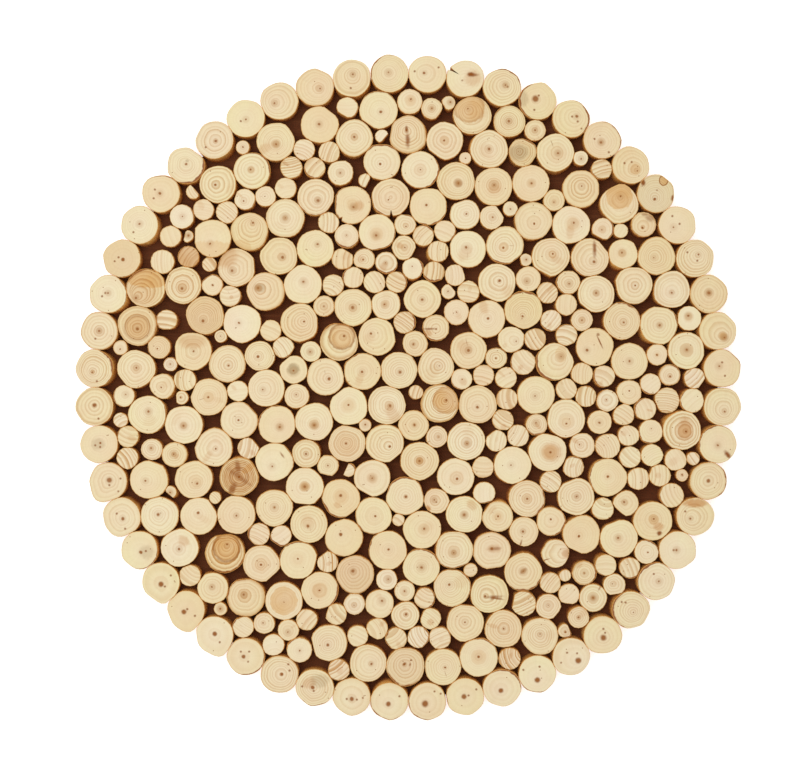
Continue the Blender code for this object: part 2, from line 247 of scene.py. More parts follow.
def kept_apart(middle, reach):
    """Outlines cut back where two neighbours would meet.

    The cut is square to the line between their middles, halfway between how far each reaches towards the
    other.
    """
    between = middle[None] - middle[:, None]
    length = np.linalg.norm(between, axis=2)
    widest = reach.max(axis=1)
    near = (length > 0) & (length < widest[:, None] + widest + 1.0)
    one, other = np.nonzero(near)
    length = length[one, other]
    toward = (between[one, other] / length[:, None]) @ spoke_way.T
    own = (reach[one] * toward).max(axis=1)
    others = (reach[other] * -toward).max(axis=1)
    cut = (own + length - others - JOINT_GAP) / 2
    limit = np.where(toward > 0.02, cut[:, None] / np.maximum(toward, 0.02), np.inf)
    nearest = np.full(reach.shape, np.inf)
    np.minimum.at(nearest, one, limit)
    return np.minimum(reach, nearest)


slice_nodes = sorted(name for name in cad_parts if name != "backing_board")
read = [(name, *face) for name in slice_nodes for face in sawn_faces(name)]
slice_node = np.array([entry[0] for entry in read])
middle = np.array([entry[1] for entry in read])
face_height = np.array([entry[2] for entry in read])
reach = np.array([entry[3] for entry in read])
on_rim = np.char.startswith(slice_node, "rim")
size = np.sqrt((reach**2).mean(axis=1))
count = len(size)
draw = np.random.default_rng(SLICE_SEED)

# The corners of rim slices, poles, sticks, dowels and twigs are worn by different angles, in radians, and the
# outlines grow a little to make up for it.
thickness_class = [on_rim, size > POLE_FROM, size > STICK_FROM, size > DOWEL_FROM]
corner_blur = np.select(thickness_class, CORNER_BLUR[:-1], CORNER_BLUR[-1])
reach = rounded(reach, corner_blur) * np.where(on_rim, RIM_GROWTH, FIELD_GROWTH)[:, None]

# Each outline also has its own bumps, waves of the third to the ninth order around it, and about a third
# have a flat where a branch was trimmed or the sawn block was split: a chord at a share of the size.
BUMP_HEIGHTS = (0.012, 0.009, 0.007, 0.006, 0.005, 0.004, 0.003)
RIM_BUMPS = 0.45
FLAT_CHANCE = 0.34
FLAT_NEAREST = (0.9, 0.8, 0.35)
FLAT_FARTHEST = 0.97

orders = 3 + np.arange(len(BUMP_HEIGHTS))
rises = np.array(BUMP_HEIGHTS) * np.where(on_rim, RIM_BUMPS, 1.0)[:, None]
heights = draw.normal(0, 1, (count, len(orders))) * rises
phases = draw.uniform(0, FULL_TURN, (count, len(orders)))
reach *= 1 + (heights[:, :, None] * np.cos(orders[:, None] * spoke_angle + phases[:, :, None])).sum(axis=1)
has_flat = draw.random(count) < np.where(on_rim, 0.0, FLAT_CHANCE)
flat_way = draw.uniform(0, FULL_TURN, count)
nearest_flat = np.select([size > POLE_FROM, size > DOWEL_FROM], FLAT_NEAREST[:-1], FLAT_NEAREST[-1])
flat_share = draw.uniform(nearest_flat, FLAT_FARTHEST)
toward_flat = np.maximum(np.cos(spoke_angle - flat_way[:, None]), 0.05)
reach = np.where(has_flat[:, None], np.minimum(reach, (size * flat_share)[:, None] / toward_flat), reach)


# Looks of the slices, one value each, with lengths in millimetres. A real one has its pith off centre, its
# own ring width and its own tone. The smaller ones are mostly sawn from dowels, which show the stripes of a
# wide tree in place of rings.

STRIPED_CHANCE = (0.0, 0.1, 0.64, 0.4)
HEART_CHANCE = 0.35
BARK_CHANCE = 0.4
BUTT_ENDS_AT = math.radians(-100)
BUTT_ENDS_SPREAD = math.radians(52)
DOT_SIZE = 1.5
DOT_COVER = 0.8

pith_way = draw.uniform(0, FULL_TURN, count)
pith_out = size * np.minimum(np.abs(draw.normal(0, 0.15, count)), 0.4)
is_pole = size > POLE_FROM
striped_chance = np.select(thickness_class[1:], STRIPED_CHANCE[:-1], STRIPED_CHANCE[-1])
look = {
    "striped": draw.random(count) < striped_chance,
    "turn": draw.uniform(0, FULL_TURN, count),
    "pith": np.stack([np.cos(pith_way), np.sin(pith_way)], axis=1) * pith_out[:, None],
    "ring_width": np.clip(draw.normal(2.7, 0.55, count), 1.7, 4.0) * np.where(is_pole, 1.0, 0.9),
    "contrast": np.clip(draw.beta(2.2, 2.4, count), 0.15, 0.95),
    "tan": np.clip(draw.normal(0, 0.48, count), -1.1, 1.4),
    "warmth": np.clip(draw.normal(0, 0.22, count), -0.6, 0.6),
    "core": np.clip(draw.normal(1.0, 0.22, count), 0.6, 1.6) * np.where(is_pole, 1.0, 0.75),
    "halo": draw.beta(1.2, 3.0, count),
    "heart": np.stack([size * draw.uniform(0.25, 0.55, count), draw.uniform(0.1, 0.4, count)], axis=1),
    "edge": draw.uniform(0.2, 1.0, count) * np.where(on_rim, 0.6, 1.0),
    "bark_way": draw.uniform(0, FULL_TURN, count),
    "bark": np.where(draw.random(count) < BARK_CHANCE, draw.uniform(0.8, 1.9, count), 0.0),
    "notch": np.zeros((count, 2)),
    "point": np.zeros((count, 2)),
    "seed": draw.uniform(0, 900, count),
}
look["heart"][:, 1] *= draw.random(count) < HEART_CHANCE
look["ring_width"][look["striped"]] *= 1.4
far_way = draw.uniform(0, FULL_TURN, count)
far_out = draw.uniform(11, 50, count)

# Butt ends at the bottom of the rim come from the thick end of the poles: few rings and a pith twice as wide.
rim_place = np.arctan2(middle[:, 1], middle[:, 0])
butt_end = on_rim & (np.abs(rim_place - BUTT_ENDS_AT) < BUTT_ENDS_SPREAD)
look["core"][butt_end] = draw.uniform(1.7, 2.3, butt_end.sum())
look["contrast"][butt_end] *= 0.45
look["ring_width"][butt_end] *= 2.0
look["heart"][butt_end, 1] = 0.0
look["halo"][butt_end] *= 0.3

# Ovals of colour on a face: x and y from the slice's middle, half length, half width, turn in degrees, cover.
# A collar is the edge of its oval alone. Stains, knots and streaks are also drawn on slices by chance.
MARK_KINDS = ("stain", "patch", "grey", "collar", "knot", "spot", "streak")
for kind in MARK_KINDS:
    look[kind] = np.zeros((count, 6))
for kind, chance, low, high in (
    ("stain", 0.3, (0.2, 0.15, 0.1), (0.7, 0.5, 0.4)),
    ("knot", 0.07, (0.05, 0.04, 0.3), (0.1, 0.08, 0.8)),
    ("streak", 0.14, (0.15, 0.012, 0.25), (0.4, 0.03, 0.7)),
):
    lies = draw.uniform(0, FULL_TURN, count)
    away = draw.uniform(0.1, 0.75, count) * size
    spread = draw.uniform(low, high, (count, 3))
    there = (draw.random(count) < chance) & (size > DOWEL_FROM)
    ovals = [np.cos(lies) * away, np.sin(lies) * away, *(spread[:, :2] * size[:, None]).T]
    look[kind] = np.stack([*ovals, np.degrees(lies), spread[:, 2] * there], axis=1)

# Slices that stand out, by their place on the panel: the pith from the slice's middle, hearts as radius and
# cover, notches and points as direction in degrees and share of the size, marks as above, the places of resin
# dots, and single looks such as the contrast of the rings.
STANDING_OUT = {
    (-240, 89): {
        "pith": (-9, -9),
        "patch": (1, 14, 27, 14.5, -6, 0.85),
        "contrast": 0.9,
        "heart": (16, 0.4),
    },
    (-252, 58): {
        "pith": (0, -3),
        "heart": (14, 0.65),
        "collar": (0, -2, 13, 12.5, 0, 0.3),
        "contrast": 1.0,
        "ring_width": 2.4,
        "tan": 1.0,
    },
    (-204, 92): {"pith": (-1, -3), "heart": (7, 0.4), "contrast": 0.9, "ring_width": 2.3},
    (-198, 117): {"stain": (0, 0, 22, 22, 0, 0.6)},
    (-175, 134): {"pith": (-2, -5), "patch": (0, -21, 40, 19, 0, 0.4)},
    (-143, 140): {"pith": (3, 8), "patch": (-8, -15, 10, 8, 0, 0.35)},
    (-155, 109): {"pith": (-4, -3), "stain": (-8, 8, 14, 10, 40, 0.5)},
    (-183, 65): {"pith": (-2, -5), "stain": (0, 0, 34, 34, 0, 0.22), "contrast": 0.8, "ring_width": 1.6},
    (-194, 33): {"pith": (1, 0), "stain": (0, 9, 17, 9, 0, 0.45)},
    (-128, 87): {"pith": (-7, 3), "halo": 0.95, "grey": (-5, 3, 6, 5, 0, 0.4)},
    (-103, 16): {"pith": (0, -1), "grey": (0, 0, 7, 7, 0, 0.7), "core": 0.8},
    (-62, 41): {
        "pith": (4.5, 5),
        "patch": (2.5, 4.5, 12.5, 12.5, 0, 0.55),
        "collar": (2.5, 4.5, 12.8, 12.8, 0, 0.55),
        "contrast": 1.2,
    },
    (-51, 164): {"pith": (1, -2), "heart": (7, 0.35), "stain": (6, -1, 6, 6, 0, 0.5), "notch": (231, 0.16)},
    (-16, 171): {"pith": (-2, -2), "notch": (271, 0.3)},
    (-1, 227): {"pith": (-1, 4), "knot": (-1, 5, 4, 2, 90, 0.85), "streak": (0, -5, 10, 3.2, 90, 0.85)},
    (57, 247): {
        "pith": (-4, 6),
        "patch": (-3, 7, 15, 14.5, 0, 0.65),
        "collar": (-3, 7, 15, 14.5, 0, 0.25),
        "stain": (4, 5, 12, 14, 0, 0.35),
    },
    (43, 185): {"pith": (2, -2), "knot": (2, -2, 5, 4.5, 0, 0.5), "halo": 0.9},
    (103, 211): {
        "pith": (-4, 1),
        "grey": (-4, 0, 12, 9, 0, 0.48),
        "stain": (2, 0, 20, 16, 0, 0.15),
        "tan": 0.6,
        "warmth": 0.6,
        "core": 0.4,
        "halo": 0.0,
        "contrast": 0.9,
        "ring_width": 1.8,
    },
    (163, 117): {"pith": (3.5, -4), "streak": (4, 8, 12, 2.6, 90, 0.85), "contrast": 0.6},
    (190, 165): {"pith": (1, 7), "patch": (0, 7, 12.7, 12.5, 0, 0.75), "stain": (2, 7, 8, 8, 0, 0.3)},
    (212, 146): {
        "pith": (-1, -3),
        "knot": (6, 6, 6, 5, 0, 0.5),
        "spot": (1, 9, 4, 2, 0, 0.5),
        "tan": 1.2,
        "halo": 0.0,
    },
    (168, 37): {"pith": (-7, -3), "streak": (4.5, 4.5, 9, 1.1, -65, 0.95), "knot": (3, 11, 2.5, 2, 0, 0.7)},
    (103, 70): {"pith": (-1, -6), "contrast": 0.8, "ring_width": 1.5, "bark": 1.6, "bark_way": 1.5},
    (25, 54): {"pith": (0, -1), "streak": (-6, -1, 8, 1.7, 0, 0.8), "stain": (-8, -5, 6, 4, 0, 0.5)},
    (131, 23): {"pith": (6, 5), "patch": (6, 7, 5.5, 8, 0, 0.35), "core": 0.5},
    (-152, -80): {
        "pith": (0, 0),
        "stain": (0, 0, 21, 21, 0, 0.5),
        "knot": (-1, 9, 9, 3.4, 100, 0.65),
        "spot": (-6, -11, 9, 4, 62, 0.75),
        "streak": (0, 0, 19, 3.4, -35, 0.6),
        "patch": (9, 8, 8, 3, 38, 0.8),
        "collar": (0, 0, 9, 9, 0, 0.4),
        "contrast": 2.2,
        "ring_width": 1.6,
    },
    (-165, -149): {
        "pith": (2, 8),
        "patch": (1.5, 6, 13, 13.5, 0, 0.8),
        "collar": (1.5, 5, 13.5, 14, 0, 0.6),
        "contrast": 1.4,
        "ring_width": 2.6,
        "tan": 1.4,
    },
    (-112, -192): {"pith": (0, -1), "patch": (0, 0, 13, 13.5, 0, 0.6), "contrast": 0.3, "core": 0.5},
    (-55, -50): {"pith": (-1, 0), "heart": (11, 0.35), "contrast": 0.9, "ring_width": 2.0},
    (-3, -252): {
        "pith": (-1, 2),
        "core": 0.6,
        "knot": (-1, 2.5, 2.6, 1.9, 45, 1.0),
        "spot": (5, 6, 1.5, 1.2, 0, 0.9),
        "streak": (4, 2, 2.2, 1.4, 60, 0.7),
        "stain": (0, 0, 26, 26, 0, 0.2),
        "contrast": 0.7,
    },
    (-93, -89): {"pith": (0, 0), "heart": (5.5, 0.7), "halo": 0.8},
    (-48, -168): {"pith": (-2, 3), "stain": (0, 0, 28, 28, 0, 0.24), "contrast": 0.6},
    (-121, -67): {"pith": (-2, -4), "streak": (7, 6, 4.5, 1.4, -55, 0.7)},
    (28, -14): {
        "pith": (6, 3),
        "patch": (6, 3, 13, 13, 0, 0.7),
        "collar": (6, 3, 13, 13, 0, 0.2),
        "contrast": 1.2,
        "ring_width": 1.9,
    },
    (125, -58): {"pith": (2.5, 0), "heart": (9, 0.5), "stain": (4, 0, 11, 11, 0, 0.5)},
    (73, -186): {
        "pith": (-4, -2),
        "streak": (4, -2.5, 12, 2.4, 3, 0.65),
        "spot": (7, -4, 8, 1.3, -8, 0.75),
        "knot": (3, -3.5, 4, 2, 30, 0.5),
        "contrast": 0.8,
        "warmth": 0.5,
    },
    (75, -147): {
        "pith": (0, 2),
        "streak": (3, 2, 8, 2.4, 4, 0.6),
        "stain": (2, 2, 9, 5, 0, 0.4),
        "core": 1.3,
    },
    (104, -129): {"pith": (-1, 0), "streak": (-3, -11, 5.5, 1.3, 72, 0.8)},
    (103, -166): {"pith": (0, 1), "streak": (0, 1, 5, 2.6, 38, 0.85)},
    (132, -149): {"pith": (12, 0), "stain": (11, 0, 7, 6, 0, 0.5), "streak": (-9, -6, 8, 0.8, 17, 0.9)},
    (166, -189): {"pith": (0, 0), "halo": 0.9, "streak": (6, 9, 5, 1.2, 60, 0.6)},
    (25, -102): {"pith": (-2, 1), "spot": (0, -1, 1.3, 1, 0, 0.9), "stain": (-8, -7, 4, 4, 0, 0.8)},
    (221, -122): {
        "pith": (1, 2),
        "heart": (6, 0.6),
        "knot": (6, -11, 3.5, 3, 0, 0.95),
        "stain": (5, -5, 6, 5, 0, 0.6),
    },
    (253, -41): {"pith": (3.5, -1), "heart": (8, 0.5), "stain": (3, 1, 9, 14, 0, 0.55)},
    (10, -66): {"pith": (0, 0), "heart": (4.5, 0.8), "halo": 0.5},
    (-19, 285): {"pith": (-1, 1)},
    (14, 284): {"pith": (-3, 1), "dots": [(10, 6), (-11.5, 2.5)]},
    (51, 279): {
        "pith": (5, 3.5),
        "core": 0.6,
        "knot": (5, 3.5, 4.2, 3, 0, 0.95),
        "streak": (8, 3, 6, 2.2, 0, 0.8),
        "stain": (7, 0, 10, 10, 0, 0.4),
        "spot": (-2.5, -2, 1.6, 1.4, 0, 0.6),
        "notch": (148, 0.62),
        "point": (90, -0.07),
        "contrast": 0.2,
    },
    (84, 271): {"pith": (3, 2), "dots": [(5, 0.5)]},
    (114, 261): {
        "pith": (-2, 2),
        "core": 2.8,
        "dots": [(1, 5), (-3, -8)],
        "grey": (-13, 2, 6, 9, 0, 0.35),
        "bark": 2.4,
        "bark_way": 3.1,
        "warmth": 0.6,
        "contrast": 0.3,
    },
    (146, 246): {
        "pith": (5, 2),
        "core": 1.3,
        "dots": [(1, 2), (6, -2.5), (9.5, -9)],
        "bark": 2.4,
        "bark_way": 0.2,
        "contrast": 0.4,
    },
    (171, 224): {"pith": (-1, -2), "dots": [(-7, 1), (6, -11)], "bark": 1.2, "bark_way": 0.5},
    (199, 201): {"pith": (6, -5), "heart": (6.5, 0.6), "dots": [(1, 3), (-5.5, 2)]},
    (222, 173): {
        "pith": (-1, -5),
        "knot": (-11.5, 10, 3, 4.4, 20, 0.95),
        "collar": (7, 12, 4.4, 5.2, 0, 1.0),
        "patch": (7, 12, 4.6, 5.4, 0, 0.8),
        "spot": (15.5, -4, 3, 4, 0, 0.9),
        "streak": (1, 3, 1.4, 1.2, 0, 0.7),
        "grey": (0, 0, 40, 40, 0, 0.12),
        "contrast": 0.7,
        "ring_width": 1.7,
    },
    (242, 145): {"pith": (-3.5, -2), "dots": [(-4.5, 8), (2, 1)]},
    (258, 113): {"pith": (3, 3.5), "dots": [(2, -2), (-7, 5.5)]},
    (274, 81): {"pith": (0, 1), "halo": 0.85, "contrast": 0.6},
    (281, 43): {"pith": (6, -6), "heart": (4.5, 0.9), "halo": 0.9, "contrast": 0.6},
    (285, 11): {"pith": (-2.5, 2), "dots": [(0, 5.5), (2.5, -6.5)]},
    (282, -28): {"pith": (2, -4.5)},
    (279, -59): {"pith": (0, -1), "streak": (9, -9.5, 6.5, 3, -50, 0.95)},
    (270, -88): {"pith": (0, 0), "core": 1.6},
    (252, -123): {"pith": (-4.5, -2), "stain": (0, 12, 14, 5, 0, 0.8), "dots": [(-9, 4.5)]},
    (235, -148): {"pith": (-1, 0), "dots": [(-3.5, 0)]},
    (217, -183): {"pith": (2.5, 0), "dots": [(-2, 6.5)], "bark": 1.7, "bark_way": 2.4},
    (195, -206): {"pith": (2.5, -2.5), "dots": [(-8, 7), (-4.5, 6.5)]},
    (169, -225): {"pith": (1, -2.5), "core": 2.5, "dots": [(1, 5.5), (2.5, 2)], "point": (345, 0.1)},
    (147, -238): {"pith": (6.5, -3.5), "core": 2.6, "dots": [(-3.5, 3.5), (5.5, 3), (-9, -5.5)]},
    (121, -260): {"pith": (0, -5.5), "core": 2.4, "dots": [(2, 6.5), (-12.5, 3.5)]},
    (85, -269): {"pith": (-1, -2.5), "core": 2.2},
    (52, -277): {"pith": (-1, 0), "core": 2.2, "dots": [(3, 1), (10, 6.5)]},
    (19, -283): {"pith": (-2, -2), "core": 2.9, "dots": [(6.5, 9), (12, 7)], "bark": 1.6, "bark_way": 3.9},
    (-13, -286): {"pith": (-1, -2.5), "core": 2.2, "dots": [(9, 4.5)], "bark": 1.5, "bark_way": 4.1},
    (-47, -280): {"pith": (0, -2), "core": 2.0, "dots": [(-4.5, -2), (4.5, -2.5), (10, -1)]},
    (-79, -272): {
        "pith": (-2, 0),
        "core": 1.7,
        "stain": (-5, 4, 9, 6, 20, 0.4),
        "grey": (4, 6, 11, 8, 0, 0.35),
        "dots": [(-11.5, 1), (-1, -3)],
        "contrast": 0.6,
        "ring_width": 2.2,
    },
    (-112, -258): {
        "pith": (2, 0),
        "core": 1.5,
        "dots": [(9, 3.5), (8, 9)],
        "contrast": 0.7,
        "ring_width": 2.5,
    },
    (-145, -245): {
        "pith": (-2, 0),
        "core": 1.8,
        "dots": [(-4.5, 4.5), (3, 4.5), (2, -4.5)],
        "bark": 1.4,
        "bark_way": 5.4,
    },
    (-174, -224): {"pith": (0, 1), "core": 2.0, "dots": [(4.5, -6.5)], "point": (285, 0.17)},
    (-202, -203): {"pith": (-2, -2), "core": 2.2, "dots": [(1, 0.5), (8, -5.5)], "point": (275, 0.19)},
    (-228, -179): {"pith": (0, -2.5), "core": 2.4, "dots": [(9, 5.5), (3.5, -4.5)], "point": (280, 0.18)},
    (-244, -147): {"pith": (1, -2), "core": 1.5, "dots": [(5.5, -1)], "grey": (6, -2, 8, 8, 0, 0.3)},
    (-259, -120): {"pith": (1, -2), "core": 1.5, "dots": [(-4.5, 2.5), (3, -11)], "point": (252, 0.1)},
    (-276, -87): {
        "pith": (1, 1),
        "core": 2.2,
        "dots": [(1, -3.5), (11, 2.5), (9, -9)],
        "point": (240, 0.2),
    },
    (-279, -57): {
        "pith": (1, 1),
        "core": 1.0,
        "dots": [(-3.5, -1), (1, -2.5)],
        "grey": (-1, 0, 8, 7, 0, 0.3),
    },
    (-286, -19): {"pith": (0, 1), "core": 1.8, "dots": [(3.5, -11)]},
    (-286, 15): {"pith": (-2, -3.5), "dots": [(2, -11.5)]},
    (-283, 49): {"pith": (0, 0), "dots": [(-3.5, -7)]},
    (-276, 81): {"pith": (0, 1), "core": 0.9, "dots": [(-2.5, 1), (-5.5, -2)]},
    (-263, 116): {
        "pith": (1, -1),
        "core": 1.6,
        "stain": (-3, 0, 26, 26, 0, 0.2),
        "dots": [(-3, 1), (-6.5, -2.5)],
    },
    (-247, 145): {"pith": (0, 1), "dots": [(-5.5, -6.5)]},
    (-226, 170): {"pith": (-1, 0), "dots": [(-5.5, 3.5), (-6.5, -4.5)]},
    (-204, 197): {
        "pith": (0, 1),
        "grey": (1, 4, 2, 1.6, 0, 0.4),
        "bark": 2.8,
        "bark_way": 5.6,
        "point": (52, -0.15),
    },
    (-178, 223): {"pith": (1, -1), "dots": [(-8, -6.5)]},
    (-150, 241): {"pith": (0, -1), "dots": [(-4.5, -2.5)]},
    (-120, 258): {"pith": (-4.5, -2)},
    (-88, 268): {"pith": (4.5, -1)},
    (-54, 283): {"pith": (1, 3.5), "dots": [(-1, -9)]},
}
for place, values in STANDING_OUT.items():
    one = np.argmin(np.linalg.norm(middle - place, axis=1))
    for key in ("heart", *MARK_KINDS):
        look[key][one, -1] = 0.0
    if size[one] > POLE_FROM:
        look["striped"][one] = False
    for kind, (x, y) in zip(("spot", "knot", "streak"), values.pop("dots", ())):
        look[kind][one] = (x, y, DOT_SIZE, DOT_SIZE, 0, DOT_COVER)
    for key, value in values.items():
        look[key][one] = value

# A point is a bump on the outline where a trimmed pole kept its corner, or a dip where it lost one. Its
# height is the share times exp(-(angle / width)^2 / 2), with the angle from its direction.
POINT_WIDTH = 0.35

from_point = spoke_angle - np.radians(look["point"][:, :1])
from_point = np.abs((from_point + math.pi) % FULL_TURN - math.pi)
reach *= 1 + look["point"][:, 1:] * np.exp(-0.5 * (from_point / POINT_WIDTH) ** 2)

# A notch is a split that opens to the outline: its spoke falls by the full depth, the ones beside it by less.
NOTCH_SHARES = {-2: 0.35, -1: 0.8, 0: 1.0, 1: 0.7, 2: 0.25}

uncut = np.where(look["notch"][:, 1:] > 0, reach, 0)
notch_spoke = np.round(np.radians(look["notch"][:, 0]) / FULL_TURN * SPOKES).astype(int) % SPOKES
for shift, share in NOTCH_SHARES.items():
    spoke = (notch_spoke + shift) % SPOKES
    reach[np.arange(count), spoke] *= 1 - share * look["notch"][:, 1]
reach = kept_apart(middle, reach)

# Branches swell towards one side, so the foot reaches further there, on the rim towards the panel's middle. A
# notch doesn't go down to the foot.
SWELL_SPREAD = 1.1
SWELL_MOST = 2.4

swell_way = np.where(on_rim, rim_place + math.pi, draw.uniform(0, FULL_TURN, count))
swell = np.minimum(np.abs(draw.normal(0, SWELL_SPREAD, count)), SWELL_MOST)
foot = reach + swell[:, None] * np.maximum(np.cos(spoke_angle - swell_way[:, None]), 0)
foot = kept_apart(middle, np.maximum(foot, uncut))


# Every sixth spoke of a rim slice becomes a corner of its outline, every eighth of a pole and every twelfth
# of the others. A foot that stands out further than a swelling does is the floor of an open split.
RIM_STEP = 6
POLE_STEP = 8
SMALL_STEP = 12
SPOKES_BY_NOTCH = 3
SPLIT_FROM = 3.0
SPLIT_FADE = 2.0
OUTER_FROM = 286.0
OUTER_FADE = 8.0
SHARP_FROM = math.radians(35)


def slice_rows(one):
    """Points, faces, materials and looks of one slice.

    A point of a ring is the middle plus the spoke's direction times the outline's distance along it. The
    rings are the sawn face, its worn shoulder and the foot. The face is a fan round the pith, or round the
    middle where there is a notch, beside which no spoke is left out.
    """
    notched = look["notch"][one, 1] > 0
    step = RIM_STEP if on_rim[one] else POLE_STEP if is_pole[one] else SMALL_STEP
    picked = np.arange(0, SPOKES, step)
    if notched:
        beside = np.arange(-SPOKES_BY_NOTCH, SPOKES_BY_NOTCH + 1)
        picked = np.union1d(picked, (notch_spoke[one] + beside) % SPOKES)
    way = spoke_way[picked]
    out = reach[one, picked, None]
    sides = len(way)
    rings = [middle[one] + way * far for far in (out - SHOULDER_IN, out, foot[one, picked, None])]
    pith = middle[one] + look["pith"][one]
    flat = np.concatenate([middle[one, None] if notched else pith[None], *rings])
    length = face_height[one] - BOARD_THICKNESS - GLUE_LINE
    depth = np.repeat([0, 0, SHOULDER_DROP, length], [1, *[sides] * 3])
    points = np.column_stack([flat, face_height[one] - depth]) * MM

    here = np.arange(sides)
    after = (here + 1) % sides
    fan = np.stack([0 * here, 1 + here, 1 + after], axis=1).tolist()
    rows = 1 + np.arange(2)[:, None] * sides
    walls = np.stack([rows + here, rows + sides + here, rows + sides + after, rows + after], axis=-1)
    faces = fan + walls.reshape(-1, 4).tolist() + [(1 + 2 * sides + here[::-1]).tolist()]
    paint = np.repeat([1 if look["striped"][one] else 0, 2], [sides, 2 * sides + 1])

    offset = flat - pith
    cos, sin = math.cos(look["turn"][one]), math.sin(look["turn"][one])
    far_centre = far_out[one] * np.array([math.cos(far_way[one]), math.sin(far_way[one])])
    ring = np.repeat([0.0, size[one]], [1, 3 * sides])
    inward = np.repeat([size[one], SHOULDER_IN, 0.0, 0.0], [1, *[sides] * 3])
    bark = np.maximum(np.cos(spoke_angle[picked] - look["bark_way"][one]), 0) * look["bark"][one]
    outer_side = np.clip((np.linalg.norm(flat, axis=1) - OUTER_FROM) / OUTER_FADE, 0, 1)
    # Painted shade: this marks the walls of an open split, which the side material paints dark brown as the
    # shade inside the split.
    split = np.clip((foot[one, picked] - reach[one, picked] - SPLIT_FROM) / SPLIT_FADE, 0, 1)
    tones = {
        "lay": (offset @ [cos, sin], offset @ [-sin, cos], look["seed"][one]),
        "rings": (ring, look["ring_width"][one], look["contrast"][one]),
        "heart": (*look["heart"][one], look["halo"][one]),
        "tones": (look["tan"][one], look["warmth"][one], look["core"][one]),
        "edge": (inward, depth, look["edge"][one]),
        "far": (*far_centre, 0.0),
        "bark": (np.append(0.0, np.tile(bark, 3)), outer_side, np.append(0.0, np.tile(split, 3))),
    }
    for kind in MARK_KINDS:
        x, y, long, wide, lies, cover = look[kind][one]
        from_mark = flat - middle[one] - (x, y)
        cos, sin = math.cos(math.radians(lies)), math.sin(math.radians(lies))
        along = from_mark @ [cos, sin] / max(long, 0.1)
        across = from_mark @ [-sin, cos] / max(wide, 0.1)
        tones[kind] = (along, across, cover)
    for kind, values in tones.items():
        tones[kind] = np.stack([np.broadcast_to(part, len(flat)) for part in values], axis=1)
    return points, faces, paint, tones


def slice_piece(name, members):
    """Adds one piece of several slices, with their looks as attributes of its points."""
    parts = [slice_rows(one) for one in members]
    starts = np.cumsum([0] + [len(part[0]) for part in parts])
    points = np.clip(np.concatenate([part[0] for part in parts]), cad_box[0], cad_box[1])
    faces = [[start + corner for corner in face] for start, part in zip(starts, parts) for face in part[1]]
    piece = mesh_piece(name, points, faces, sawn_pole, sawn_dowel, peeled_side)
    mesh = piece.data
    mesh.polygons.foreach_set("material_index", np.concatenate([part[2] for part in parts]))
    for kind in parts[0][3]:
        values = np.concatenate([part[3][kind] for part in parts])
        mesh.attributes.new(kind, "FLOAT_VECTOR", "POINT").data.foreach_set("vector", values.ravel())
    mesh.shade_smooth()
    mesh.set_sharp_from_angle(angle=SHARP_FROM)
    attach(piece, "root")
    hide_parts(*sorted(set(slice_node[members])))


def mark_cover(tree, kind, wobble, solid, bend=0.5, reach=1.0):
    """Cover of a mark: full inside the share solid of its oval, and none from the share reach on."""
    place = add(tree, "Attribute", out="Vector", attribute_name=kind)
    flat = add(tree, "VectorMath", {0: place, 1: (1.0, 1.0, 0.0)}, operation="MULTIPLY")
    bent = add(tree, "VectorMath", {0: wobble, 1: (bend, bend, 0.0), 2: flat}, operation="MULTIPLY_ADD")
    off = add(tree, "VectorMath", {0: bent}, out="Value", operation="LENGTH")
    inside = add(tree, "MapRange", [off, solid, reach, 1.0, 0.0], interpolation_type="SMOOTHSTEP")
    cover = add(tree, "SeparateXYZ", [place], out=2)
    return add(tree, "Math", [inside, cover], operation="MULTIPLY")


